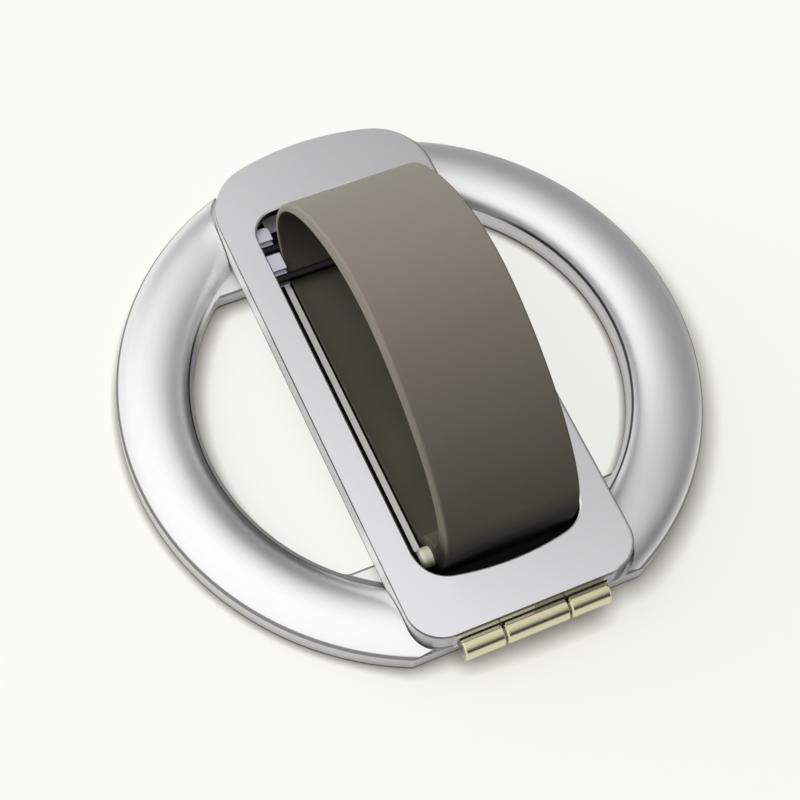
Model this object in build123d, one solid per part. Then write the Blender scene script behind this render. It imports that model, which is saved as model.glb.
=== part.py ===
from build123d import *
from math import degrees
import os

# Phone ring holder, millimetres, +Z up.
# Origin: centre of the ring, on the face that lies on the phone.
# X runs along the hinge, +Y from the hinge to the tip of the bracket.

# Ring
ring_od = 58.0
ring_band_w = 7.43
lip_w = 0.33
rim_outer_h = 2.3
rim_inner_h = 1.95
dome_crest_h = 4.2
foot_gap = 0.15
hinge_flat_depth = 2.6
landing_w = 5.37
landing_corner_r = 1.5

# Magnets, their steel yoke and the grip pad under them
pad_t = 0.4
pad_margin = 0.7
magnet_t = 0.7
yoke_t = 0.25
groove_wall = 1.0
magnet_count = 15
hinge_land_deg = 60.0
magnet_gap = 0.3
seat_gap = 0.08

# Bracket
bracket_w = 23.3
tip_inset = 0.5
near_overhang = 0.2
near_corner_r = 3.5
tip_corner_r = 6.0
frame_h = 2.8
skin_t = 1.05
outer_bevel = 0.28
slot_bevel = 0.15
slot_side_border = 3.03
slot_near_border = 4.79
slot_near_bow = 1.36
slot_near_r = 3.5
slot_tip_border = 6.33
slot_tip_bow = 0.7
slot_tip_r = 2.75
base_plate_t = 0.6
base_plate_inset = 0.6
floor_gap = 0.1
pocket_gap = 0.12
pocket_corner_r = 2.9

# Rails for the slider: a channel under the frame's top skin, guide bars on the base plate,
# and the window that the slider is put in through
rail_undercut = 0.5
rail_tip_wall = 3.5
rail_near_start = 5.4
rail_corner_r = 1.5
window_len = 4.0
window_side_gap = 0.2
guide_w = 0.6
guide_h = 0.5
guide_gap = 0.3

# Hinge
knuckle_d = 2.55
hinge_pin_d = 1.2
hinge_out = 0.7
hinge_rise = 0.55
centre_knuckle_len = 6.5
outer_knuckle_len = 4.15
knuckle_gap = 0.2
knuckle_relief = 0.2
knuckle_bevel = 0.15
running_gap = 0.04
fixed_gap = 0.01
leaf_t = 0.4
leaf_wing = 3.0
rivet_d = 0.9
rivet_head_d = 1.6
rivet_len = 1.2

# Screws of the base plate
screw_d = 0.9
screw_head_d = 1.5
screw_len = 2.0
screw_inset = 3.0

# Strap: a thick arch for the finger and a thin web under it
strap_side_gap = 1.82
strap_t = 2.05
web_t = 0.5
arch_rise = 16.75
arch_near_rise = 3.2
arch_far_rise = 2.2
arch_near_bulge = 0.45
arch_far_inset = 2.92
arch_crest_shift = 0.35
near_side_fullness = 0.54
near_crest_fullness = 0.36
far_side_fullness = 0.5
far_crest_fullness = 0.48
web_fullness = 0.35
heel_fullness = 0.55
web_pin_gap = 0.2
strap_end_gap = 1.5
heel_t = 1.05

# Pin that anchors the strap, through an eyelet moulded in its near end
anchor_d = 2.0
anchor_bead = 1.2
anchor_end_r = 0.5
anchor_spigot_d = 1.2
anchor_spigot_len = 2.2
anchor_sink = 1.15
anchor_gap = 0.05
eyelet_wall = 0.9
eyelet_blend_r = 0.8

# Slider
slider_len = 6.6
slider_w = 2.07
slider_h = 1.03
slider_corner_r = 0.4
slider_tip_room = 4.1
slider_gap = 0.15
slider_notch_w = 1.7
slider_notch_floor = 0.25
slider_pin_d = 0.9
slider_pin_sink = 0.1
slider_pin_inner = 0.6
slider_pin_outer = 4.2

# Derived ring places
ring_or = ring_od / 2
ring_ir = ring_or - ring_band_w
dome_ir = ring_ir + lip_w
ring_mid_r = (ring_or + dome_ir) / 2
flat_y = -(ring_or - hinge_flat_depth)
landing_y = ring_ir - landing_w
groove_ir = dome_ir + groove_wall
groove_or = ring_or - groove_wall
magnet_z = pad_t
yoke_z = magnet_z + magnet_t
groove_top = yoke_z + yoke_t
groove_sweep_deg = 360 - hinge_land_deg
pocket_z = rim_inner_h

# Derived bracket places
bracket_hw = bracket_w / 2
tip_r = ring_or - tip_inset
near_y = flat_y - near_overhang
plate_z = pocket_z + floor_gap
frame_z = plate_z + base_plate_t
frame_top = frame_z + frame_h
skin_z = frame_top - skin_t
slot_hw = bracket_hw - slot_side_border
slot_near_y = near_y + slot_near_border
slot_tip_y = tip_r - slot_tip_border
slot_mid_y = (slot_tip_y + slot_near_y) / 2
rail_hw = slot_hw + rail_undercut
rail_tip_y = tip_r - rail_tip_wall
rail_near_y = slot_near_y + rail_near_start
rail_len = rail_tip_y - rail_near_y

# Derived hinge places
hinge_y = flat_y - hinge_out
hinge_z = pocket_z + hinge_rise
knuckle_r = knuckle_d / 2
relief_r = knuckle_r + knuckle_relief
centre_hw = centre_knuckle_len / 2
outer_x0 = centre_hw + knuckle_gap
hinge_hw = outer_x0 + outer_knuckle_len
leaf_y = hinge_y + relief_r

# Derived strap and slider places
strap_hw = slot_hw - strap_side_gap
strap_near_y = slot_near_y + strap_end_gap
anchor_r = anchor_d / 2
anchor_hole_r = anchor_r + anchor_gap
anchor_y = strap_near_y + heel_t + anchor_hole_r
anchor_z = frame_top - anchor_sink
anchor_hw = strap_hw + anchor_bead
eyelet_r = anchor_hole_r + eyelet_wall
arch_top = frame_top + arch_rise
arch_near_y = strap_near_y - arch_near_bulge
arch_near_z = frame_top + arch_near_rise
arch_far_y = slot_tip_y - arch_far_inset
arch_far_z = frame_top + arch_far_rise
guide_x0 = strap_hw + guide_gap
guide_z = frame_z + guide_h
slider_z = guide_z + slider_gap / 2
slider_hw = rail_hw - slider_gap
slider_tip_y = rail_tip_y - slider_tip_room
slider_near_y = slider_tip_y - slider_len
slider_pin_r = slider_pin_d / 2
slider_notch_z = slider_z + slider_notch_floor
slider_pin_z = slider_notch_z + slider_pin_r - slider_pin_sink
inner_pin_y = slider_near_y + slider_pin_inner
outer_pin_y = slider_near_y + slider_pin_outer
slider_pin_hw = slider_hw - slider_gap
web_rise_y = inner_pin_y + slider_pin_r + web_pin_gap


def slab(outline, z0, z1):
    """A flat outline given thickness between two heights."""
    return extrude(Pos(0, 0, z0) * outline, z1 - z0)


def rod(x0, x1, y, z, radius):
    """A round bar along X."""
    return extrude(Plane.YZ.offset(x0) * Pos(y, z) * Circle(radius), x1 - x0)


def ring_sector(r0, r1, z0, z1, start_deg, sweep_deg):
    """Part of a flat ring, turned about Z from a start angle."""
    section = make_face(Polyline((r0, z0), (r1, z0), (r1, z1), (r0, z1), close=True))
    return Rot(0, 0, start_deg) * revolve(Plane.XZ * section, Axis.Z, sweep_deg)


def bracket_outline(grow=0.0, tip_grow=0.0, near_r=near_corner_r):
    """Plan of the bracket: straight sides, an arc at the tip and rounded corners."""
    arc_r = tip_r + grow + tip_grow
    width = 2 * (bracket_hw + grow)
    near = near_y - grow
    plan = Circle(arc_r) & Pos(0, arc_r / 2) * Rectangle(width, arc_r)
    plan += Pos(0, near / 2) * Rectangle(width, -near)
    rows = plan.vertices().group_by(Axis.Y)
    plan = fillet(rows[-1], tip_corner_r + grow)
    rows = plan.vertices().group_by(Axis.Y)
    return fillet(rows[0], near_r + grow)


def beyond_flat(margin):
    """Plan of everything on the hinge side of the ring's flat."""
    return Pos(0, flat_y + margin - ring_or) * Rectangle(2 * ring_od, 2 * ring_or)


def pad_outline(gap):
    """Plan of the grip pad: a ring cut straight along the hinge flat."""
    plan = Circle(ring_or - pad_margin - gap) - Circle(ring_ir + pad_margin + gap)
    return plan - beyond_flat(pad_margin + gap)


def groove_start_deg():
    """Where the magnet groove begins, on one side of the land at the hinge."""
    return -90 + hinge_land_deg / 2


def countersunk(head_d, shank_d, length, gap):
    """A flush-headed rivet or screw with its face at the origin and its shank down; gap makes its hole."""
    head_r = head_d / 2 + gap
    shank_r = shank_d / 2 + gap
    head_h = head_r - shank_r
    head = Pos(0, 0, -head_h / 2) * Cone(shank_r, head_r, head_h)
    return head + Pos(0, 0, -(length + gap) / 2) * Cylinder(shank_r, length + gap)


def ring_leaf_rivets(gap=0.0):
    """Rivets that hold the ring's leaf, driven down into the land at the hinge."""
    x = outer_x0 + outer_knuckle_len / 2
    y = leaf_y + leaf_wing / 2
    rivet = countersunk(rivet_head_d, rivet_d, rivet_len, gap)
    return [Pos(side * x, y, pocket_z) * rivet for side in (-1, 1)]


def bracket_leaf_rivets(gap=0.0):
    """Rivets that hold the bracket's leaf, driven up into the frame's near border."""
    x = centre_hw + knuckle_gap
    y = leaf_y + leaf_wing / 2
    rivet = Rot(180, 0, 0) * countersunk(rivet_head_d, rivet_d, rivet_len, gap)
    return [Pos(side * x, y, frame_z) * rivet for side in (-1, 1)]


def plate_screws(gap=0.0):
    """Screws of the base plate, driven up into the frame beside the rails."""
    x = (rail_hw + bracket_hw - base_plate_inset) / 2
    y = landing_y - screw_inset
    screw = Rot(180, 0, 0) * countersunk(screw_head_d, screw_d, screw_len, gap)
    return [Pos(side * x, end * y, plate_z) * screw for side in (-1, 1) for end in (-1, 1)]


def ring_leaf_plan():
    """Leaf under the bracket: a bar across both outer knuckles, cut back for the centre one."""
    bar = Pos(0, leaf_y + leaf_wing / 2) * Rectangle(2 * hinge_hw, leaf_wing)
    arm_len = leaf_y - hinge_y + leaf_wing / 2
    arm = Rectangle(outer_knuckle_len, arm_len)
    for side in (-1, 1):
        bar += Pos(side * (outer_x0 + outer_knuckle_len / 2), hinge_y + arm_len / 2) * arm
    return bar


def bracket_leaf_plan():
    """Leaf in the frame: a neck from the centre knuckle and a wider foot."""
    foot_hw = centre_hw + leaf_wing / 2
    foot = Pos(0, leaf_y + leaf_wing / 2) * Rectangle(2 * foot_hw, leaf_wing)
    neck_len = leaf_y - hinge_y + leaf_wing / 2
    return foot + Pos(0, hinge_y + neck_len / 2) * Rectangle(centre_knuckle_len, neck_len)


def barrel(x0, x1):
    """One knuckle of the hinge, before it is bored."""
    knuckle = rod(x0, x1, hinge_y, hinge_z, knuckle_r)
    return chamfer(knuckle.edges().filter_by(GeomType.CIRCLE), knuckle_bevel)


def window_plan():
    """Plan of the ring's opening, cut straight at the landings, with eased corners."""
    plan = Circle(ring_ir) & Rectangle(2 * ring_od, 2 * landing_y)
    return fillet(plan.vertices(), landing_corner_r)


def make_ring_shell():
    profile = make_face([
        Line((ring_ir, foot_gap), (ring_ir, rim_inner_h)),
        Line((ring_ir, rim_inner_h), (dome_ir, rim_inner_h)),
        ThreePointArc((dome_ir, rim_inner_h), (ring_mid_r, dome_crest_h), (ring_or, rim_outer_h)),
        Line((ring_or, rim_outer_h), (ring_or, foot_gap)),
        Line((ring_or, foot_gap), (ring_ir, foot_gap)),
    ])
    shell = revolve(Plane.XZ * profile, Axis.Z)
    shell += slab(Circle(dome_ir) - window_plan(), foot_gap, rim_inner_h)
    pocket = bracket_outline(pocket_gap, 2 * tip_inset, pocket_corner_r - pocket_gap)
    shell -= slab(pocket, pocket_z, 2 * dome_crest_h)
    shell -= slab(beyond_flat(0), 0, 2 * dome_crest_h)
    shell -= slab(pad_outline(0), 0, pad_t)
    shell -= ring_sector(groove_ir, groove_or, 0, groove_top, groove_start_deg(), groove_sweep_deg)
    shell -= rod(-hinge_hw - knuckle_gap, hinge_hw + knuckle_gap, hinge_y, hinge_z, relief_r)
    shell -= slab(offset(ring_leaf_plan(), seat_gap), pocket_z - leaf_t, dome_crest_h)
    return shell - ring_leaf_rivets(fixed_gap)


def make_base_pad():
    return slab(pad_outline(seat_gap), 0, pad_t)


def make_yoke_ring():
    ease_deg = degrees(seat_gap / groove_ir)
    start = groove_start_deg() + ease_deg
    sweep = groove_sweep_deg - 2 * ease_deg
    return ring_sector(groove_ir + seat_gap, groove_or - seat_gap, yoke_z, groove_top, start, sweep)


def make_magnet(index):
    pitch = groove_sweep_deg / magnet_count
    gap_deg = degrees(magnet_gap / groove_ir)
    start = groove_start_deg() + index * pitch + gap_deg / 2
    return ring_sector(groove_ir + seat_gap, groove_or - seat_gap, magnet_z, yoke_z, start, pitch - gap_deg)


def make_hinge_leaf_ring():
    leaf = slab(ring_leaf_plan(), pocket_z - leaf_t, pocket_z)
    for x0 in (outer_x0, -hinge_hw):
        leaf += barrel(x0, x0 + outer_knuckle_len)
    leaf -= rod(-hinge_hw, hinge_hw, hinge_y, hinge_z, hinge_pin_d / 2 + fixed_gap)
    return leaf - ring_leaf_rivets(fixed_gap)


def make_hinge_leaf_bracket():
    leaf = slab(bracket_leaf_plan(), frame_z, frame_z + leaf_t)
    leaf += barrel(-centre_hw, centre_hw)
    leaf -= rod(-centre_hw, centre_hw, hinge_y, hinge_z, hinge_pin_d / 2 + running_gap)
    return leaf - bracket_leaf_rivets(fixed_gap)


def make_hinge_pin():
    return rod(-hinge_hw, hinge_hw, hinge_y, hinge_z, hinge_pin_d / 2)


def slot_plan():
    """Plan of the slot: straight sides, and ends that bow outward."""
    near_side_y = slot_near_y + slot_near_bow
    tip_side_y = slot_tip_y - slot_tip_bow
    plan = make_face([
        ThreePointArc((-slot_hw, near_side_y), (0, slot_near_y), (slot_hw, near_side_y)),
        Line((slot_hw, near_side_y), (slot_hw, tip_side_y)),
        ThreePointArc((slot_hw, tip_side_y), (0, slot_tip_y), (-slot_hw, tip_side_y)),
        Line((-slot_hw, tip_side_y), (-slot_hw, near_side_y)),
    ])
    rows = plan.vertices().group_by(Axis.Y)
    plan = fillet(rows[0], slot_near_r)
    rows = plan.vertices().group_by(Axis.Y)
    return fillet(rows[-1], slot_tip_r)


def rail_plan():
    return Pos(0, (rail_tip_y + rail_near_y) / 2) * RectangleRounded(2 * rail_hw, rail_len, rail_corner_r)


def make_bracket_frame():
    frame = slab(bracket_outline() - slot_plan(), frame_z, frame_top)
    top = frame.faces().sort_by(Axis.Z)[-1]
    slot_rim = top.inner_wires()[0].edges()
    frame = chamfer(top.outer_wire().edges(), outer_bevel)
    frame = chamfer(slot_rim, slot_bevel)
    frame -= slab(rail_plan(), frame_z, skin_z)
    frame -= rod(-hinge_hw - knuckle_gap, hinge_hw + knuckle_gap, hinge_y, hinge_z, relief_r)
    frame -= slab(offset(bracket_leaf_plan(), seat_gap), frame_z, frame_z + leaf_t)
    spigot_hw = anchor_hw + anchor_spigot_len + seat_gap
    frame -= rod(-spigot_hw, spigot_hw, anchor_y, anchor_z, anchor_spigot_d / 2 + fixed_gap)
    return frame - bracket_leaf_rivets(fixed_gap) - plate_screws(fixed_gap)


def make_bracket_base_plate():
    plate = slab(bracket_outline(-base_plate_inset), plate_z, frame_z)
    plate -= rod(-hinge_hw - knuckle_gap, hinge_hw + knuckle_gap, hinge_y, hinge_z, relief_r)
    window_hw = slider_hw - slider_w - window_side_gap
    window = Pos(0, rail_tip_y - window_len / 2) * Rectangle(2 * window_hw, window_len)
    plate -= slab(window, plate_z, frame_z)
    guide_y0 = anchor_y + anchor_r + guide_gap
    guide_y1 = rail_tip_y - window_len
    guide = Pos(0, (guide_y0 + guide_y1) / 2) * Rectangle(guide_w, guide_y1 - guide_y0)
    for side in (-1, 1):
        plate += slab(Pos(side * (guide_x0 + guide_w / 2), 0) * guide, frame_z, guide_z)
    return plate - plate_screws(fixed_gap)


def make_strap_anchor_pin():
    pin = rod(-anchor_hw, anchor_hw, anchor_y, anchor_z, anchor_r)
    pin = fillet(pin.edges().filter_by(GeomType.CIRCLE), anchor_end_r)
    spigot_hw = anchor_hw + anchor_spigot_len
    return pin + rod(-spigot_hw, spigot_hw, anchor_y, anchor_z, anchor_spigot_d / 2)


def bend(side, level, side_fullness, level_fullness):
    """A quarter turn in the side view, upright at its side point and level at the other."""
    rise = level[1] - side[1]
    reach = side[0] - level[0]
    side_pull = (side[0], side[1] + side_fullness * rise)
    level_pull = (level[0] + level_fullness * reach, level[1])
    return Bezier(side, side_pull, level_pull, level)


def strap_loop(near_in, crest_in, far_in, web_in):
    """Side view of the strap's closed loop, set in from its outer face by four thicknesses."""
    heel = (strap_near_y + near_in, anchor_z)
    near_side = (arch_near_y + near_in, arch_near_z)
    crest = (slot_mid_y + arch_crest_shift, arch_top - crest_in)
    far_side = (arch_far_y - far_in, arch_far_z)
    web_end = (web_rise_y, frame_z + web_in)
    toe = (anchor_y, frame_z + web_in)
    sway_z = (anchor_z + arch_near_z) / 2
    return make_face([
        Bezier(heel, (heel[0], sway_z), (near_side[0], sway_z), near_side),
        bend(near_side, crest, near_side_fullness, near_crest_fullness),
        bend(far_side, crest, far_side_fullness, far_crest_fullness),
        bend(far_side, web_end, web_fullness, web_fullness),
        Line(web_end, toe),
        bend(heel, toe, heel_fullness, heel_fullness),
    ])


def strap_section():
    outer = strap_loop(0, 0, 0, 0)
    inner = strap_loop(strap_t, strap_t, web_t, web_t)
    eyelet = Pos(anchor_y, anchor_z) * Circle(eyelet_r)
    section = outer - inner + (eyelet & outer)
    near_anchor = [
        point for point in section.vertices()
        if abs((Vector(point) - Vector(anchor_y, anchor_z)).length - eyelet_r) < fixed_gap
    ]
    section = fillet(near_anchor, eyelet_blend_r)
    return section - Pos(anchor_y, anchor_z) * Circle(anchor_hole_r)


def make_strap():
    return extrude(Plane.YZ * strap_section(), strap_hw, both=True)


def make_slider_block(side):
    """A runner of the slider, with two notches where the pins that cross between the runners lie."""
    x = side * (slider_hw - slider_w / 2)
    plan = Pos(x, slider_near_y + slider_len / 2) * RectangleRounded(slider_w, slider_len, slider_corner_r)
    block = slab(plan, slider_z, slider_z + slider_h)
    notch = Rectangle(2 * slider_w, slider_notch_w)
    for y in (inner_pin_y, outer_pin_y):
        block -= slab(Pos(x, y) * notch, slider_notch_z, slider_z + slider_h)
        block -= rod(-slider_hw, slider_hw, y, slider_pin_z, slider_pin_r + fixed_gap)
    return block


def make_slider_pin(y):
    return rod(-slider_pin_hw, slider_pin_hw, y, slider_pin_z, slider_pin_r)


def build():
    nodes = {
        "ring_shell": make_ring_shell(),
        "base_pad": make_base_pad(),
        "yoke_ring": make_yoke_ring(),
        "hinge_leaf_ring": make_hinge_leaf_ring(),
        "hinge_ring_rivets": Compound(children=ring_leaf_rivets()),
        "hinge_pin": make_hinge_pin(),
        "bracket_frame": make_bracket_frame(),
        "bracket_base_plate": make_bracket_base_plate(),
        "base_plate_screws": Compound(children=plate_screws()),
        "hinge_leaf_bracket": make_hinge_leaf_bracket(),
        "hinge_bracket_rivets": Compound(children=bracket_leaf_rivets()),
        "strap_anchor_pin": make_strap_anchor_pin(),
        "strap": make_strap(),
        "slider_block_left": make_slider_block(-1),
        "slider_block_right": make_slider_block(1),
        "slider_pin_inner": make_slider_pin(inner_pin_y),
        "slider_pin_outer": make_slider_pin(outer_pin_y),
    }
    for index in range(magnet_count):
        nodes[f"magnet_{index + 1:02d}"] = make_magnet(index)
    return nodes


os.makedirs("parts", exist_ok=True)
for name, solid in build().items():
    export_step(solid, f"parts/{name}.step")
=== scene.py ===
from math import cos, pi, radians, sin
import bmesh
import bpy
from mathutils import Matrix, Vector
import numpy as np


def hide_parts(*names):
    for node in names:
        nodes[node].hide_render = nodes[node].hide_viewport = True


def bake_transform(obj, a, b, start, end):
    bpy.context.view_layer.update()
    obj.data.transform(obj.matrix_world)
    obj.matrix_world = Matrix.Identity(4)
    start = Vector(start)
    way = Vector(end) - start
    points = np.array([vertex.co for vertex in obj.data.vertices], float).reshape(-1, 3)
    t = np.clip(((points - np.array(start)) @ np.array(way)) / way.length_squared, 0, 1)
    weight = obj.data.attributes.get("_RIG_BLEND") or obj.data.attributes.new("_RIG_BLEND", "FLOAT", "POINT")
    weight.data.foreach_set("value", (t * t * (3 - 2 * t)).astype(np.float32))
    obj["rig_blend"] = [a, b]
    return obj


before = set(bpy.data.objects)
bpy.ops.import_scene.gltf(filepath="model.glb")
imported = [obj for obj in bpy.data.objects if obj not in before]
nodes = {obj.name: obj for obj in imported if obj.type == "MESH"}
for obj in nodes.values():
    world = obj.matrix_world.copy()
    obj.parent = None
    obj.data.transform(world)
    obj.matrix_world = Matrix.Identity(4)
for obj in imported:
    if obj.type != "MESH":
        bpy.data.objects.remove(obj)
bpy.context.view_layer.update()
MM = 0.001

# Camera, at the photograph's angle
CAMERA_AZIMUTH = -34.072
CAMERA_ELEVATION = 61.297
CAMERA_ROLL = 10.71
CAMERA_DISTANCE = 0.199115
CAMERA_SENSOR = 36.0
CAMERA_LENS = 89.91
CAMERA_SHIFT = (-0.01368, -0.00792)

# Studio
FLOOR_HALF = 3.0
FLOOR_COLOR = (0.975, 0.98, 0.925)
FLOOR_BOUNCE = (0.45, 0.45, 0.44)
FLOOR_GLOW = 0.72
FLOOR_SHADE = (0.085, 0.062, 0.035)
SHADE_REACH = (0.8, 2.6)
SHADE_WAY = (0.72, -0.69, 0.0)
SHADE_SPAN = (2.0, 22.0)
SHADE_TURN_R = 22.5
SHADE_INSIDE = -0.7
SHADE_FALL = 2.3
BACKDROP_COLOR = (1.0, 1.0, 0.945)
FILL_SIDE = (-0.45, 0.70, 0.55)
FILL_STEPS = ((-1.0, 0.06), (-0.2, 0.20), (0.4, 0.62), (1.0, 0.95))
KEY_WAY = (-0.70, 0.56, 0.44)
KEY_DISTANCE = 1.1
KEY_SIZE = 1.0
KEY_LEVEL = 0.80

# What the metal sees: a card overhead that is bright on one side, and the floor
LEVEL_TOP = 2.0
CARD_HEIGHT = 66.0
CARD_HALF = 400.0
CARD_WAY = (0.92, 0.40, 0.0)
CARD_SPAN = 320.0
CARD_STEPS = ((-320, 1.15), (-25, 1.15), (-5, 1.03), (9, 0.97), (20, 0.81), (40, 0.60), (55, 0.46),
              (80, 0.37), (110, 0.32), (170, 0.31), (320, 0.38))
BACK_X = (-90.0, 20.0)
BACK_Y = 130.0
BACK_SOFT = 60.0
BACK_LEVEL = 0.42
FRONT_X = 0.0
FRONT_X_SOFT = 25.0
FRONT_Y = -82.0
FRONT_Y_SOFT = 62.0
FRONT_LEVEL = 0.08
TENT_STEPS = ((-1.0, 1.15), (0.0, 0.7), (1.0, 0.25))
# Painted shade in the floor as the metal sees it, in the left window and under the bracket
WINDOW_R = 21.6
WINDOW_R_SOFT = 1.0
WINDOW_X = 9.0
WINDOW_Y = 12.0
WINDOW_SOFT = 2.0
WINDOW_SHADE_IN_METAL = 0.10
SHADE_IN_METAL = 0.15
FLOOR_IN_METAL = ((-320, 0.95), (21, 0.95), (30, 0.40), (320, 0.36))

# Strap in its side view, millimetres along Y and Z
STRAP_HALF_W = 6.8
STRAP_T = 2.05
WEB_T = 0.5
STRAP_HEEL = Vector((-20.31, 4.3))
STRAP_NEAR = Vector((-20.76, 8.65))
STRAP_CREST = Vector((0.53, 22.2))
STRAP_FAR = Vector((19.25, 7.65))
STRAP_WEB_END = Vector((15.55, 2.65))
STRAP_TOE = Vector((-18.21, 2.65))
NEAR_FULLNESS = (0.54, 0.36)
FAR_FULLNESS = (0.5, 0.48)
WEB_FULLNESS = 0.35
HEEL_FULLNESS = 0.55
RISE_STEPS = 10
ARCH_STEPS = 56
TURN_STEPS = 16
WEB_STEPS = 40
HEEL_STEPS = 10
EYELET_STEPS = 12
EASE_STEPS = 6
HOLE_STEPS = 28
ANCHOR = Vector((-18.21, 4.3))
ANCHOR_HOLE_R = 1.05
EYELET_R = 1.95
EYELET_EASE = 0.85
EYELET_START = -7.0
EYELET_SWEEP = 85.0
STRAP_EDGE = 0.26
INNER_EDGE = 0.2
HOLE_EDGE = 0.1
EDGE_STEPS = 4
SIDE_CUTS = 3
# Painted shade on the strap: darker towards the near end, near black at its foot, and dark inside the loop
TONE_NEAR_Y = -20.0
TONE_FAR_Y = 15.0
FOOT_SHADE_Z = (8.6, 11.8)
FOOT_SHADE_Y = (-19.0, -12.0)
TONE_START = 0.2
TONE_MID = 0.6
TONE_INSIDE_SHADE = 0.16
INSIDE_SHADE_Z = (4.0, 14.0)
STRAP_HOLDS = (0.0, -0.015, 0.003)
STRAP_SLIDES = (0.0, 0.015, 0.003)

# Places on the metal where the finish, the painted shade or the painted highlight changes, millimetres
RIM_R = 28.79
RIM_Z = 2.14
CREASE_IN, CREASE_OUT = 21.87, 22.06
CREASE_Z = 1.8
LANDING_R = 21.45
LANDING_EDGE_Y = 16.4
# Where the painted highlight on the far-left shoulder lies
SHOULDER_X = 13.3
SHOULDER_R = 25.8
SHOULDER_X_SOFT = 0.5
SHOULDER_R_SOFT = 1.0
CREASE_FADE = 2.5
CREASE_SOFT = 0.03
FLAT_Y = -26.0
# Where the painted shade on the ring's left inner slope lies
SLOPE_R, SLOPE_SOFT = 24.5, 2.5
SLOPE_Y, SLOPE_Y_SOFT = -4.0, 6.0
SLOPE_X, SLOPE_X_SOFT = -16.5, 3.5
SLOPE_FOOT_R, SLOPE_FOOT_SOFT = 22.75, 0.4
FOOT_Z = 0.4
FOOT_SOFT = 0.12
SLOT_X = 9.3
SLOT_Y = (-22.2, 25.1)
BEVEL_Z = 4.95
FRAME_FOOT_Z = 2.85
PLATE_TOP_Z = 2.7
PLATE_FLOOR_Z = 2.6
# Where the painted shade along the bracket's right edge lies, and the way its shaded bevels face
EDGE_X = 8.6
EDGE_X_SOFT = 0.3
EDGE_SHADE_WAY = (0.80, -0.60, 0.0)
EDGE_REACH = 0.5
# Where the painted shade on the near-right corner wall begins
CORNER_Y = -23.5
CORNER_SOFT = 0.5
HINGE_FACE_Y = -26.3
HINGE_HALF_W = 8.2
HINGE_LINE_Z = 4.7
BEAD_END_X = 8.02

# Facings where a finish or painted shade begins, shares of some finishes and painted shades, and depths of
# grain in millimetres
WALL_FACING = 0.35
WALL_SOFT = 0.1
BEVEL_FACING = (0.5, 0.9)
EDGE_FACING = 0.25
EDGE_SOFT = 0.1
MATT_SHARE = 0.85
WALL_MATT = 0.4
GUIDE_MATT = 0.3
BEAD_MATT = 0.5
SLOPE_SHARE = 0.8
SLOPE_FOOT_SHARE = 0.7
STRAP_DRIFT = 0.06
GRAIN_DEPTH = 0.02
PAD_GRAIN_DEPTH = 0.03

# Colours, linear
SILVER = (0.84, 0.84, 0.845)
# Painted shade on the ring's left inner slope
SLOPE_SHADE = (0.46, 0.46, 0.465)
RIM_WALL = (0.69, 0.68, 0.64)
LANDING = (0.90, 0.90, 0.89)
# Dark edge lines, and painted shade in the ring's crease, at the walls' foot, on the flat and along the
# bracket's right edge
DARK_LINE_AND_SHADE = (0.10, 0.10, 0.105)
# Grey edge lines, and painted shade on the ring's left lip
GREY_LINE_AND_SHADE = (0.22, 0.22, 0.215)
BRACKET_SILVER = (0.79, 0.785, 0.80)
BEVEL = (0.90, 0.90, 0.90)
BRACKET_WALL = (0.78, 0.775, 0.76)
CORNER_SHADE = (0.42, 0.42, 0.41)
HINGE_SHADE = (0.10, 0.095, 0.07)
# Black painted as shade in the slot, on the plate's floor and on the beads' necks
SLOT_SHADE_BLACK = (0.006, 0.006, 0.006)
GUIDE = (0.66, 0.65, 0.61)
RUNNER = (0.72, 0.72, 0.80)
CHAMPAGNE = (0.67, 0.625, 0.43)
BEAD = (0.66, 0.65, 0.54)
STEEL = (0.40, 0.40, 0.41)
# Dark steel, darkened to near black as painted shade
PIN_SHADE_DARK = (0.02, 0.02, 0.02)
MAGNET = (0.40, 0.40, 0.41)
# Painted shade on the strap: near black at its foot, and dark towards its near end
STRAP_FOOT_SHADE = (0.002, 0.002, 0.002)
STRAP_NEAR_SHADE = (0.140, 0.130, 0.095)
STRAP_MID_TONE = (0.252, 0.215, 0.180)
STRAP_FAR_TONE = (0.258, 0.236, 0.199)
PAD = (0.055, 0.055, 0.058)
PAD_PALE = (0.0825, 0.0825, 0.087)


# Node helpers

def new_tree(name):
    material = bpy.data.materials.new(name)
    material.use_nodes = True
    return material, material.node_tree


def add(tree, kind, links=(), **settings):
    """A node with its settings; links gives what feeds its inputs, by index or name."""
    item = tree.nodes.new(kind)
    for key, value in settings.items():
        setattr(item, key, value)
    for key, source in dict(links).items():
        if isinstance(source, bpy.types.NodeSocket):
            tree.links.new(source, item.inputs[key])
        else:
            item.inputs[key].default_value = source
    return item


def maths(tree, operation, a, b=0.0, c=0.0):
    return add(tree, "ShaderNodeMath", {0: a, 1: b, 2: c}, operation=operation).outputs[0]


def times(tree, first, *others):
    for other in others:
        first = maths(tree, "MULTIPLY", first, other)
    return first


def either(tree, first, *others):
    for other in others:
        first = maths(tree, "MAXIMUM", first, other)
    return first


def inverse(tree, mask):
    return maths(tree, "SUBTRACT", 1.0, mask)


def step(tree, value, low, high):
    """Rises smoothly from 0 at low to 1 at high, or falls where high is the lower."""
    item = add(tree, "ShaderNodeMapRange", {"Value": value, "From Min": low, "From Max": high})
    item.interpolation_type = "SMOOTHSTEP"
    return item.outputs["Result"]


def over(tree, value, edge, soft=0.05):
    return step(tree, value, edge - soft, edge + soft)


def under(tree, value, edge, soft=0.05):
    return step(tree, value, edge + soft, edge - soft)


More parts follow.
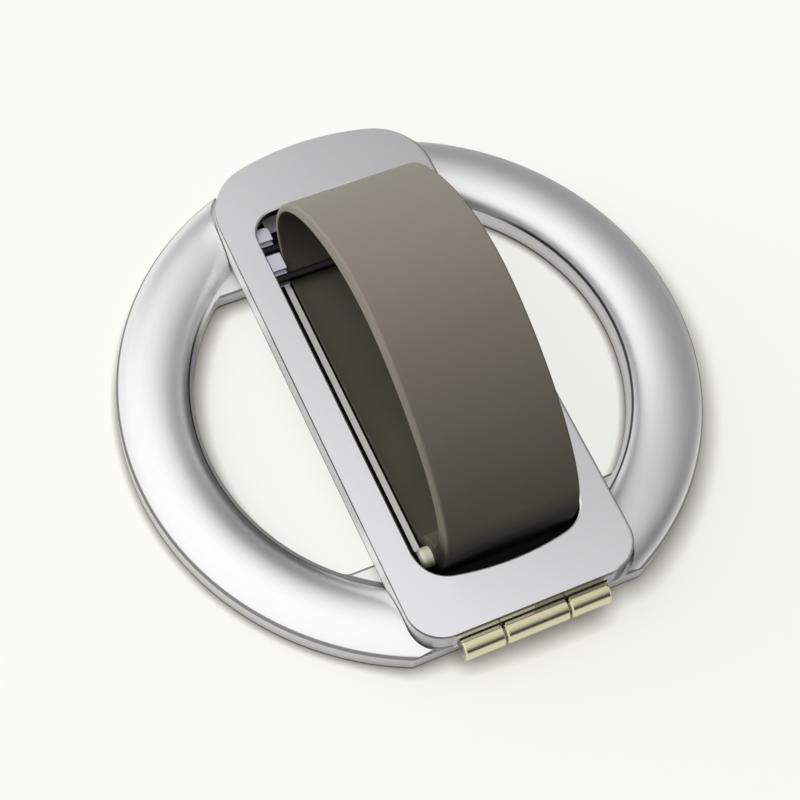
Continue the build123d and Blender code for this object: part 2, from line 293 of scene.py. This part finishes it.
def ramp(tree, fac, *stops):
    """A colour ramp of (place, colour) stops."""
    item = add(tree, "ShaderNodeValToRGB", {"Fac": fac})
    elements = item.color_ramp.elements
    while len(elements) < len(stops):
        elements.new(0.5)
    for element, (place, color) in zip(elements, stops):
        element.position = place
        element.color = (*color, 1.0)
    return item.outputs["Color"]


def grey(value):
    return (value, value, value)


def level_ramp(tree, value, span, steps):
    """Grey levels over places from -span to span, as shares of LEVEL_TOP, which is then the strength."""
    along = add(tree, "ShaderNodeMapRange", {"Value": value, "From Min": -span, "From Max": span})
    stops = [((place / span + 1) / 2, grey(level / LEVEL_TOP)) for place, level in steps]
    return ramp(tree, along.outputs["Result"], *stops)


def painted(tree, mask, below, above):
    item = add(tree, "ShaderNodeMix", {0: mask, 6: below, 7: (*above, 1.0)}, data_type="RGBA")
    return item.outputs[2]


def shader_of(tree):
    return tree.nodes["Principled BSDF"]


def places(tree):
    """X, Y and Z on the piece, in millimetres."""
    at = add(tree, "ShaderNodeTexCoord").outputs["Object"]
    scaled = add(tree, "ShaderNodeVectorMath", {0: at, "Scale": 1 / MM}, operation="SCALE").outputs[0]
    return add(tree, "ShaderNodeSeparateXYZ", {0: scaled}).outputs


def radius_of(tree, x, y):
    flat = add(tree, "ShaderNodeCombineXYZ", {0: x, 1: y}).outputs[0]
    return add(tree, "ShaderNodeVectorMath", {0: flat}, operation="LENGTH").outputs["Value"]


def uprightness(tree):
    """How far the surface faces up or down: 0 on a wall, 1 on a level face."""
    facing = add(tree, "ShaderNodeTexCoord").outputs["Normal"]
    return maths(tree, "ABSOLUTE", add(tree, "ShaderNodeSeparateXYZ", {0: facing}).outputs[2])


def dot(tree, vector, way):
    """How far a vector goes along a way."""
    unit = Vector(way).normalized()
    return add(tree, "ShaderNodeVectorMath", {0: vector, 1: unit}, operation="DOT_PRODUCT").outputs["Value"]


def edge_facing(tree, way, radius):
    """How far the surface, rounded over its edges, faces along a way."""
    rounded = add(tree, "ShaderNodeBevel", {"Radius": radius * MM}, samples=6).outputs[0]
    own = add(tree, "ShaderNodeVectorTransform", {0: rounded}, vector_type="NORMAL",
              convert_from="WORLD", convert_to="OBJECT").outputs[0]
    return dot(tree, own, way)


def brushed_rings(tree, along, across):
    """Noise drawn out round the Z axis, as a turned and brushed surface has."""
    x, y, z = places(tree)
    turn = maths(tree, "ARCTAN2", y, x)
    drawn = add(tree, "ShaderNodeCombineXYZ", {
        0: times(tree, turn, along),
        1: times(tree, radius_of(tree, x, y), across),
        2: times(tree, z, across),
    }).outputs[0]
    return add(tree, "ShaderNodeTexNoise", {"Vector": drawn, "Scale": 1.0, "Detail": 4.0}).outputs["Fac"]


def grain(tree, scale, detail=3.0):
    place = add(tree, "ShaderNodeTexCoord").outputs["Object"]
    return add(tree, "ShaderNodeTexNoise", {"Vector": place, "Scale": scale, "Detail": detail}).outputs["Fac"]


def bump(tree, height, strength, distance):
    settings = {"Strength": strength, "Distance": distance, "Height": height}
    return add(tree, "ShaderNodeBump", settings).outputs[0]


# Materials

def turned(tree):
    return brushed_rings(tree, along=14.0, across=9.0)


def blasted(tree):
    return grain(tree, scale=7000.0)


def polished(tree):
    return grain(tree, scale=2500.0)


def satin(name, color, roughness, noise_of, zones=None, spread=0.04, strength=0.05, tone=0.02):
    """Satin metal whose roughness, tone and bump follow one noise; zones repaints parts of it."""
    material, tree = new_tree(name)
    noise = noise_of(tree)
    shader = shader_of(tree)
    low = tuple(c * (1 - tone) for c in color)
    high = tuple(min(1.0, c * (1 + tone)) for c in color)
    base = ramp(tree, noise, (0.3, low), (0.7, high))
    if zones:
        base, metallic = zones(tree, base)
        tree.links.new(metallic, shader.inputs["Metallic"])
    else:
        shader.inputs["Metallic"].default_value = 1.0
    tree.links.new(base, shader.inputs["Base Color"])
    rough = ramp(tree, noise, (0.3, grey(roughness - spread)), (0.7, grey(roughness + spread)))
    tree.links.new(rough, shader.inputs["Roughness"])
    tree.links.new(bump(tree, noise, strength, GRAIN_DEPTH * MM), shader.inputs["Normal"])
    return material


def matt_share(tree, mask):
    """Metal, apart from where the mask gives a paler and more matt finish."""
    return maths(tree, "SUBTRACT", 1.0, times(tree, mask, MATT_SHARE))


def ring_zones(tree, base):
    """Pale walls and landings, a painted highlight on the far-left shoulder, painted shade on the left slope,
    in the crease, at the foot, on the flat and on the left lip, and dark lines along the edges.
    """
    x, y, z = places(tree)
    r = radius_of(tree, x, y)
    left = under(tree, x, 0.0)
    top = over(tree, z, CREASE_Z)
    wall = under(tree, uprightness(tree), WALL_FACING, WALL_SOFT)
    level = inverse(tree, wall)
    within = under(tree, r, LANDING_R)
    landing = times(tree, within, top, level)
    rim = times(tree, over(tree, r, RIM_R), over(tree, z, RIM_Z))
    # Painted shade in the crease between the dome and the lip, fading out towards the far end
    fading = under(tree, y, LANDING_EDGE_Y - CREASE_FADE, CREASE_FADE)
    crease_band = times(tree, over(tree, r, CREASE_IN, CREASE_SOFT), under(tree, r, CREASE_OUT, CREASE_SOFT))
    crease_shade = times(tree, top, crease_band, fading)
    before_crease = under(tree, r, CREASE_IN, CREASE_SOFT)
    # Painted shade: the lip is grey on the left side only
    lip = times(tree, top, over(tree, r, LANDING_R), before_crease, left, fading)
    # Painted shade on the flat's cut face above the rim
    flat = times(tree, wall, under(tree, y, FLAT_Y), over(tree, z, RIM_Z))
    between = under(tree, maths(tree, "ABSOLUTE", y), LANDING_EDGE_Y)
    landing_edge = times(tree, top, between, within)
    # Painted highlight: a pale band on the far-left shoulder, where the dome eases down beside the bracket
    far = over(tree, y, LANDING_EDGE_Y)
    shoulder_highlight = times(tree, far, over(tree, x, -SHOULDER_X, SHOULDER_X_SOFT), left,
                     under(tree, r, SHOULDER_R, SHOULDER_R_SOFT), level)
    # Painted shade on the inner slope at the near left, deepest towards the crease
    near = under(tree, y, SLOPE_Y, SLOPE_Y_SOFT)
    near_slope = times(tree, under(tree, r, SLOPE_R, SLOPE_SOFT), near, SLOPE_SHARE)
    slope_foot = times(tree, under(tree, r, SLOPE_FOOT_R, SLOPE_FOOT_SOFT), SLOPE_FOOT_SHARE)
    slope_side = under(tree, x, SLOPE_X, SLOPE_X_SOFT)
    slope = times(tree, either(tree, near_slope, slope_foot), top, slope_side)
    # Painted shade along the foot of the walls
    foot = times(tree, wall, under(tree, z, FOOT_Z, FOOT_SOFT))
    base = painted(tree, slope, base, SLOPE_SHADE)
    # Pale landings, and the painted highlight on the shoulder
    base = painted(tree, either(tree, landing, shoulder_highlight), base, LANDING)
    base = painted(tree, wall, base, RIM_WALL)
    # Grey lines along the landing edge and the rim, and painted shade on the left lip
    base = painted(tree, either(tree, landing_edge, lip, rim), base, GREY_LINE_AND_SHADE)
    # Painted shade in the crease, at the walls' foot and on the flat
    base = painted(tree, either(tree, crease_shade, foot, flat), base, DARK_LINE_AND_SHADE)
    return base, matt_share(tree, either(tree, times(tree, wall, WALL_MATT), landing, shoulder_highlight))


def frame_zones(tree, base):
    """Bright bevels, pale outer walls and dark edge lines, with painted shade along the right edge, at the
    near-right corner, above the hinge, along the walls' foot and as a black slot.
    """
    x, y, z = places(tree)
    across = maths(tree, "ABSOLUTE", x)
    upright = uprightness(tree)
    wall = under(tree, upright, WALL_FACING, WALL_SOFT)
    # Painted shade: the inside of the slot is painted black
    in_slot = times(tree, under(tree, across, SLOT_X), over(tree, y, SLOT_Y[0]), under(tree, y, SLOT_Y[1]))
    inside = times(tree, in_slot, under(tree, upright, BEVEL_FACING[0]))
    bevel = times(tree, over(tree, upright, BEVEL_FACING[0]), under(tree, upright, BEVEL_FACING[1]))
    hinge_face = times(tree, under(tree, y, HINGE_FACE_Y), under(tree, across, HINGE_HALF_W))
    hinge_line = times(tree, wall, hinge_face, over(tree, z, HINGE_LINE_Z))
    pale_wall = times(tree, wall, inverse(tree, hinge_face))
    # Painted shade along the bevels that face right and back, away from the light
    edge = over(tree, edge_facing(tree, EDGE_SHADE_WAY, EDGE_REACH), EDGE_FACING, EDGE_SOFT)
    right = times(tree, over(tree, x, EDGE_X, EDGE_X_SOFT), edge)
    # Painted shade on the near-right corner wall
    corner_shade = times(tree, wall, over(tree, x, 0.0), under(tree, y, CORNER_Y, CORNER_SOFT))
    # Dark lines at the top of the pale walls, and painted shade along their foot
    line = times(tree, pale_wall, either(tree, over(tree, z, BEVEL_Z), under(tree, z, FRAME_FOOT_Z)))
    base = painted(tree, bevel, base, BEVEL)
    base = painted(tree, pale_wall, base, BRACKET_WALL)
    base = painted(tree, corner_shade, base, CORNER_SHADE)
    base = painted(tree, hinge_line, base, HINGE_SHADE)
    base = painted(tree, either(tree, line, right), base, DARK_LINE_AND_SHADE)
    base = painted(tree, inside, base, SLOT_SHADE_BLACK)
    return base, matt_share(tree, times(tree, pale_wall, under(tree, x, 0.0), inverse(tree, inside)))


def plate_zones(tree, base):
    """A floor under the strap painted black as shade, with pale guide bars along it."""
    z = places(tree)[2]
    # Painted shade: the plate's floor is black
    floor = times(tree, over(tree, z, PLATE_FLOOR_Z), under(tree, z, PLATE_TOP_Z))
    guide = over(tree, z, PLATE_TOP_Z)
    base = painted(tree, floor, base, SLOT_SHADE_BLACK)
    base = painted(tree, guide, base, GUIDE)
    return base, matt_share(tree, times(tree, guide, GUIDE_MATT))


def bead_zones(tree, base):
    """Champagne beads, with the necks beyond them painted black as shade."""
    # Painted shade: the necks in the slot are black
    neck = over(tree, maths(tree, "ABSOLUTE", places(tree)[0]), BEAD_END_X)
    base = painted(tree, neck, base, SLOT_SHADE_BLACK)
    return base, inverse(tree, times(tree, inverse(tree, neck), BEAD_MATT))


def strap_silicone():
    """Moulded silicone: its tone runs along the strap as painted shade, with a fine even grain."""
    material, tree = new_tree("strap_silicone")
    fine = grain(tree, scale=9000.0, detail=2.0)
    broad = grain(tree, scale=180.0, detail=4.0)
    # The tone attribute carries the strap's painted shade
    tone = add(tree, "ShaderNodeAttribute", attribute_name="tone").outputs["Fac"]
    cloud = maths(tree, "SUBTRACT", broad, 0.5)
    drift = maths(tree, "MULTIPLY_ADD", cloud, STRAP_DRIFT, tone)
    color = ramp(tree, drift, (0.0, STRAP_FOOT_SHADE), (TONE_START, STRAP_NEAR_SHADE),
                 (TONE_MID, STRAP_MID_TONE), (1.0, STRAP_FAR_TONE))
    speck = ramp(tree, fine, (0.35, grey(0.95)), (0.65, grey(1.0)))
    shader = shader_of(tree)
    both = add(tree, "ShaderNodeMix", {0: 1.0, 6: color, 7: speck}, data_type="RGBA", blend_type="MULTIPLY")
    tree.links.new(both.outputs[2], shader.inputs["Base Color"])
    tree.links.new(ramp(tree, fine, (0.3, grey(0.56)), (0.7, grey(0.66))), shader.inputs["Roughness"])
    tree.links.new(bump(tree, fine, strength=0.15, distance=GRAIN_DEPTH * MM), shader.inputs["Normal"])
    shader.inputs["Specular IOR Level"].default_value = 0.12
    return material


def pad_silicone():
    material, tree = new_tree("pad_silicone")
    noise = grain(tree, scale=4000.0)
    shader = shader_of(tree)
    tree.links.new(ramp(tree, noise, (0.35, PAD), (0.65, PAD_PALE)), shader.inputs["Base Color"])
    shader.inputs["Roughness"].default_value = 0.7
    tree.links.new(bump(tree, noise, strength=0.2, distance=PAD_GRAIN_DEPTH * MM), shader.inputs["Normal"])
    return material


RING_METAL = satin("ring_satin", SILVER, roughness=0.36, noise_of=turned, zones=ring_zones)
FRAME_METAL = satin("bracket_satin", BRACKET_SILVER, roughness=0.36, noise_of=blasted, zones=frame_zones)
PLATE_METAL = satin("plate_satin", BRACKET_SILVER, roughness=0.36, noise_of=blasted, zones=plate_zones)
RUNNER_METAL = satin("runner_satin", RUNNER, roughness=0.40, noise_of=blasted)
CHAMPAGNE_METAL = satin("champagne_metal", CHAMPAGNE, roughness=0.16, noise_of=polished)
BEAD_METAL = satin("bead_champagne", BEAD, roughness=0.5, noise_of=polished, zones=bead_zones)
STEEL_METAL = satin("pin_steel", STEEL, roughness=0.28, noise_of=polished)
DARK_METAL = satin("pin_dark", PIN_SHADE_DARK, roughness=0.34, noise_of=polished)
MAGNET_METAL = satin("magnet_plating", MAGNET, roughness=0.33, noise_of=polished)
STRAP_RUBBER = strap_silicone()
PAD_RUBBER = pad_silicone()

NODE_MATERIALS = {
    "ring_shell": RING_METAL,
    "base_pad": PAD_RUBBER,
    "yoke_ring": STEEL_METAL,
    "hinge_leaf_ring": CHAMPAGNE_METAL,
    "hinge_ring_rivets": STEEL_METAL,
    "hinge_pin": STEEL_METAL,
    "bracket_frame": FRAME_METAL,
    "bracket_base_plate": PLATE_METAL,
    "base_plate_screws": STEEL_METAL,
    "hinge_leaf_bracket": CHAMPAGNE_METAL,
    "hinge_bracket_rivets": STEEL_METAL,
    "strap_anchor_pin": BEAD_METAL,
    "strap": STRAP_RUBBER,
    "slider_block_left": RUNNER_METAL,
    "slider_block_right": RUNNER_METAL,
    "slider_pin_inner": DARK_METAL,
    "slider_pin_outer": DARK_METAL,
}
SMOOTH_ANGLE = radians(35)


def dress(name, obj):
    material = NODE_MATERIALS.get(name, MAGNET_METAL)
    obj.data.materials.clear()
    obj.data.materials.append(material)
    obj.data.shade_smooth()
    obj.data.set_sharp_from_angle(angle=SMOOTH_ANGLE)


for node_name, node_object in nodes.items():
    dress(node_name, node_object)


# Strap: a thick arch and a thin web in one loop, with an eyelet moulded in its near end

def cubic(a, b, c, d, steps):
    """Points of a cubic from a towards d, without d itself."""
    points = []
    for i in range(steps):
        t = i / steps
        s = 1 - t
        points.append(a * s ** 3 + b * 3 * t * s ** 2 + c * 3 * t ** 2 * s + d * t ** 3)
    return points


def quarter(side, level, side_fullness, level_fullness):
    """Control points of a quarter turn, upright at its side point and level at the other."""
    side_pull = Vector((side.x, side.y + side_fullness * (level.y - side.y)))
    level_pull = Vector((level.x + level_fullness * (side.x - level.x), level.y))
    return side, side_pull, level_pull, level


def strap_line(thick, web):
    """Side view of the loop, set in from its outer face, in runs that go up, over, down and back."""
    heel = STRAP_HEEL + Vector((thick, 0))
    near = STRAP_NEAR + Vector((thick, 0))
    crest = STRAP_CREST - Vector((0, thick))
    far = STRAP_FAR - Vector((web, 0))
    web_end = STRAP_WEB_END + Vector((0, web))
    toe = STRAP_TOE + Vector((0, web))
    sway = (heel.y + near.y) / 2
    rise = (heel, Vector((heel.x, sway)), Vector((near.x, sway)), near)
    back = (web_end, web_end.lerp(toe, 1 / 3), web_end.lerp(toe, 2 / 3), toe)
    runs = (
        (rise, RISE_STEPS),
        (quarter(near, crest, *NEAR_FULLNESS), ARCH_STEPS),
        (quarter(far, crest, *FAR_FULLNESS)[::-1], ARCH_STEPS),
        (quarter(far, web_end, WEB_FULLNESS, WEB_FULLNESS), TURN_STEPS),
        (back, WEB_STEPS),
        (quarter(heel, toe, HEEL_FULLNESS, HEEL_FULLNESS)[::-1], HEEL_STEPS),
    )
    return [point for controls, steps in runs for point in cubic(*controls, steps)]


def round_points(centre, radius, start, sweep, count):
    turns = [radians(start + sweep * i / count) for i in range(count)]
    return [centre + Vector((cos(turn), sin(turn))) * radius for turn in turns]


def inner_line():
    """The inside of the loop, which runs round the eyelet and eases into it on both sides."""
    clear = EYELET_R + EYELET_EASE
    inside = [point for point in strap_line(STRAP_T, WEB_T) if (point - ANCHOR).length > clear]
    arc = round_points(ANCHOR, EYELET_R, EYELET_START, EYELET_SWEEP, EYELET_STEPS)
    first_way = (arc[1] - arc[0]).normalized() * EYELET_EASE
    last_way = (arc[-1] - arc[-2]).normalized() * EYELET_EASE
    up = (inside[1] - inside[0]).normalized() * EYELET_EASE
    along = (inside[-1] - inside[-2]).normalized() * EYELET_EASE
    onto = cubic(inside[-1], inside[-1] + along, arc[0] - first_way, arc[0], EASE_STEPS)
    off = cubic(arc[-1], arc[-1] + last_way, inside[0] - up, inside[0], EASE_STEPS)
    return inside[:-1] + onto + arc[:-1] + off


def outward(line, hand):
    """Directions square to a closed line, to its left or right."""
    ways = []
    for before, after in zip(line[-1:] + line[:-1], line[1:] + line[:1]):
        way = after - before
        ways.append(Vector((-way.y, way.x)).normalized() * hand)
    return ways


def share(value, low, high):
    """How far a value has come from low to high, from 0 to 1."""
    return min(1.0, max(0.0, (value - low) / (high - low)))


def outer_shade(place):
    """Painted shade: rises from a dark foot at the near end to the palest tone at the far end."""
    run = share(place.x, TONE_NEAR_Y, TONE_FAR_Y)
    low = 1 - share(place.y, *FOOT_SHADE_Z)
    near = 1 - share(place.x, *FOOT_SHADE_Y)
    return TONE_START * (1 - low * near) + (1 - TONE_START) * run


def inner_shade(side, place):
    """Painted shade: dark inside the loop, and darker to the right and up; along the edges it is as outside.
    """
    if abs(side) > STRAP_HALF_W - INNER_EDGE / 2:
        return outer_shade(place)
    return TONE_INSIDE_SHADE * (1 - share(place.y, *INSIDE_SHADE_Z)) * share(-side, -STRAP_HALF_W, STRAP_HALF_W)


def strap_wall(shape, line, hand, edge):
    """A wall with rounded edges, outside (hand 1) or inside (hand -1); gives its two open edge loops."""
    tone = shape.verts.layers.float["tone"]
    ways = outward(line, hand)
    turns = [i / EDGE_STEPS * pi / 2 for i in range(EDGE_STEPS + 1)]
    half = [(STRAP_HALF_W - edge * (1 - cos(turn)), edge * (1 - sin(turn))) for turn in turns]
    profile = half + [(-x, inset) for x, inset in reversed(half)]
    rows = []
    for x, inset in profile:
        spots = [point - way * inset for point, way in zip(line, ways)]
        rows.append([shape.verts.new((x * MM, spot.x * MM, spot.y * MM)) for spot in spots])
        for vertex, spot in zip(rows[-1], spots):
            vertex[tone] = outer_shade(spot) if hand > 0 else inner_shade(x, spot)
    count = len(line)
    for row, after in zip(rows, rows[1:]):
        for i in range(count):
            k = (i + 1) % count
            shape.faces.new((row[i], row[k], after[k], after[i]))
    return rows[0], rows[-1]


def loop_edges(shape, loop):
    return [shape.edges.get((loop[i - 1], loop[i])) for i in range(len(loop))]


def fill_sides(shape, sides):
    """Flat sides between edge loops, divided so that their painted shade runs evenly."""
    tone = shape.verts.layers.float["tone"]
    crossing = []
    for loops in sides:
        edges = [edge for loop in loops for edge in loop_edges(shape, loop)]
        filled = bmesh.ops.triangle_fill(shape, use_beauty=True, edges=edges)["geom"]
        crossing += [item for item in filled if isinstance(item, bmesh.types.BMEdge)]
    divided = bmesh.ops.subdivide_edges(shape, edges=crossing, cuts=SIDE_CUTS)["geom_inner"]
    for item in divided:
        if isinstance(item, bmesh.types.BMVert):
            item[tone] = outer_shade(item.co.yz / MM)
    many_sided = [face for face in shape.faces if len(face.verts) > 4]
    bmesh.ops.triangulate(shape, faces=many_sided)


def make_strap():
    shape = bmesh.new()
    shape.verts.layers.float.new("tone")
    walls = (
        strap_wall(shape, strap_line(0.0, 0.0), 1, STRAP_EDGE),
        strap_wall(shape, inner_line(), -1, INNER_EDGE),
        strap_wall(shape, round_points(ANCHOR, ANCHOR_HOLE_R, 0, 360, HOLE_STEPS), -1, HOLE_EDGE),
    )
    fill_sides(shape, zip(*walls))
    bmesh.ops.recalc_face_normals(shape, faces=shape.faces)
    mesh = bpy.data.meshes.new("finger_strap")
    shape.to_mesh(mesh)
    shape.free()
    mesh.shade_smooth()
    mesh.materials.append(STRAP_RUBBER)
    strap = bpy.data.objects.new("finger_strap", mesh)
    bpy.context.scene.collection.objects.link(strap)
    strap.visible_glossy = False
    even = strap.modifiers.new("even_normals", "WEIGHTED_NORMAL")
    even.weight = 100
    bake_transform(strap, "bracket", "slider", start=STRAP_HOLDS, end=STRAP_SLIDES)
    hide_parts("strap")


make_strap()


# Floor, card, world, lamp and camera

def make_sheet(name, half, height, material):
    corners = [(x * half, y * half, height) for x, y in ((-1, -1), (1, -1), (1, 1), (-1, 1))]
    mesh = bpy.data.meshes.new(name)
    mesh.from_pydata(corners, [], [(0, 1, 2, 3)])
    mesh.materials.append(material)
    sheet = bpy.data.objects.new(name, mesh)
    bpy.context.scene.collection.objects.link(sheet)
    return sheet


def floor_material():
    """A pale floor, shaded close to the part; the metal sees it in levels, with painted shade in the left
    window and under the bracket.
    """
    material, tree = new_tree("floor")
    tree.nodes.remove(shader_of(tree))
    path = add(tree, "ShaderNodeLightPath")
    seen = path.outputs["Is Camera Ray"]
    colors = {0: seen, 6: (*FLOOR_BOUNCE, 1.0), 7: (*FLOOR_COLOR, 1.0)}
    color = add(tree, "ShaderNodeMix", colors, data_type="RGBA").outputs[2]
    lit = add(tree, "ShaderNodeBsdfDiffuse", {"Color": color}).outputs[0]
    x, y, z = places(tree)
    r = radius_of(tree, x, y)
    at = add(tree, "ShaderNodeCombineXYZ", {0: x, 1: y, 2: z}).outputs[0]
    inside = under(tree, r, SHADE_TURN_R)
    hand = maths(tree, "MULTIPLY_ADD", inside, SHADE_INSIDE - 1, 1.0)
    away = step(tree, times(tree, dot(tree, at, SHADE_WAY), hand), *SHADE_SPAN)
    low, high = (reach * MM for reach in SHADE_REACH)
    reach = add(tree, "ShaderNodeMapRange", {"Value": away, "To Min": low, "To Max": high}).outputs["Result"]
    near = add(tree, "ShaderNodeAmbientOcclusion", {"Distance": reach}, samples=8).outputs["AO"]
    shade = maths(tree, "POWER", near, SHADE_FALL)
    pale = ramp(tree, shade, (0.0, FLOOR_SHADE), (1.0, BACKDROP_COLOR))
    glow = add(tree, "ShaderNodeEmission", {"Color": pale, "Strength": 1.0}).outputs[0]
    plain = add(tree, "ShaderNodeMixShader", {0: times(tree, seen, FLOOR_GLOW), 1: lit, 2: glow}).outputs[0]
    level = level_ramp(tree, dot(tree, at, CARD_WAY), CARD_SPAN, FLOOR_IN_METAL)
    # Painted shade: the metal sees the floor dark in the left window and under the bracket
    window = times(tree, under(tree, r, WINDOW_R, WINDOW_R_SOFT), under(tree, x, WINDOW_X, WINDOW_SOFT),
                   under(tree, maths(tree, "ABSOLUTE", y), WINDOW_Y, WINDOW_SOFT))
    level = painted(tree, window, level, grey(WINDOW_SHADE_IN_METAL / LEVEL_TOP))
    level = painted(tree, inverse(tree, shade), level, grey(SHADE_IN_METAL / LEVEL_TOP))
    mirrored = add(tree, "ShaderNodeEmission", {"Color": level, "Strength": LEVEL_TOP}).outputs[0]
    by_ray = {0: path.outputs["Is Glossy Ray"], 1: plain, 2: mirrored}
    both = add(tree, "ShaderNodeMixShader", by_ray).outputs[0]
    tree.links.new(both, tree.nodes["Material Output"].inputs["Surface"])
    return material


def card_material():
    material, tree = new_tree("card")
    tree.nodes.remove(shader_of(tree))
    x, y = places(tree)[:2]
    at = add(tree, "ShaderNodeCombineXYZ", {0: x, 1: y}).outputs[0]
    level = level_ramp(tree, dot(tree, at, CARD_WAY), CARD_SPAN, CARD_STEPS)
    front = times(tree, over(tree, x, FRONT_X, FRONT_X_SOFT), under(tree, y, FRONT_Y, FRONT_Y_SOFT))
    level = painted(tree, front, level, grey(FRONT_LEVEL / LEVEL_TOP))
    back = times(tree, over(tree, y, BACK_Y, BACK_SOFT), over(tree, x, BACK_X[0], BACK_SOFT),
                 under(tree, x, BACK_X[1], BACK_SOFT))
    level = painted(tree, back, level, grey(BACK_LEVEL / LEVEL_TOP))
    light = add(tree, "ShaderNodeEmission", {"Color": level, "Strength": LEVEL_TOP}).outputs[0]
    tree.links.new(light, tree.nodes["Material Output"].inputs["Surface"])
    return material


def make_sheets():
    make_sheet("floor", FLOOR_HALF, 0.0, floor_material())
    card = make_sheet("card", CARD_HALF * MM, CARD_HEIGHT * MM, card_material())
    card.visible_camera = False
    card.visible_diffuse = False
    card.visible_transmission = False
    card.visible_shadow = False


def make_world():
    """A soft fill from one side; the metal sees a tent that goes on from the card."""
    world = bpy.data.worlds.new("studio")
    bpy.context.scene.world = world
    world.use_nodes = True
    tree = world.node_tree
    tree.nodes.clear()
    way = add(tree, "ShaderNodeTexCoord").outputs["Generated"]
    facing = dot(tree, way, FILL_SIDE)
    fill_level = level_ramp(tree, facing, 1.0, FILL_STEPS)
    fill = add(tree, "ShaderNodeBackground", {"Color": fill_level, "Strength": LEVEL_TOP})
    tent_level = level_ramp(tree, dot(tree, way, CARD_WAY), 1.0, TENT_STEPS)
    tent = add(tree, "ShaderNodeBackground", {"Color": tent_level, "Strength": LEVEL_TOP})
    seen = add(tree, "ShaderNodeBackground", {"Color": (*BACKDROP_COLOR, 1.0), "Strength": 1.0})
    path = add(tree, "ShaderNodeLightPath")
    light = add(tree, "ShaderNodeMixShader", {
        0: path.outputs["Is Glossy Ray"], 1: fill.outputs[0], 2: tent.outputs[0],
    })
    both = add(tree, "ShaderNodeMixShader", {
        0: path.outputs["Is Camera Ray"], 1: light.outputs[0], 2: seen.outputs[0],
    })
    add(tree, "ShaderNodeOutputWorld", {"Surface": both.outputs[0]})


def make_key():
    lamp = bpy.data.lights.new("key", "AREA")
    lamp.shape = "SQUARE"
    lamp.size = KEY_SIZE
    lamp.energy = KEY_LEVEL * (pi * KEY_DISTANCE) ** 2
    key = bpy.data.objects.new("key", lamp)
    bpy.context.scene.collection.objects.link(key)
    key.location = Vector(KEY_WAY).normalized() * KEY_DISTANCE
    key.rotation_euler = (-key.location).to_track_quat("-Z", "Y").to_euler()
    key.visible_glossy = False
    key.visible_camera = False


def make_camera():
    azimuth, elevation, roll = (radians(a) for a in (CAMERA_AZIMUTH, CAMERA_ELEVATION, CAMERA_ROLL))
    back = Vector((sin(azimuth) * cos(elevation), -cos(azimuth) * cos(elevation), sin(elevation)))
    right = Vector((cos(azimuth), sin(azimuth), 0.0))
    up = back.cross(right)
    side = right * cos(roll) + up * sin(roll)
    top = up * cos(roll) - right * sin(roll)
    data = bpy.data.cameras.new("camera")
    data.sensor_width = CAMERA_SENSOR
    data.lens = CAMERA_LENS
    data.shift_x, data.shift_y = CAMERA_SHIFT
    data.clip_start = 0.01
    data.clip_end = 20.0
    camera = bpy.data.objects.new("camera", data)
    bpy.context.scene.collection.objects.link(camera)
    turn = Matrix((side, top, back)).transposed().to_4x4()
    camera.matrix_world = Matrix.Translation(back * CAMERA_DISTANCE) @ turn
    bpy.context.scene.camera = camera


make_sheets()
make_world()
make_key()
make_camera()
bpy.context.scene.view_settings.view_transform = "Standard"
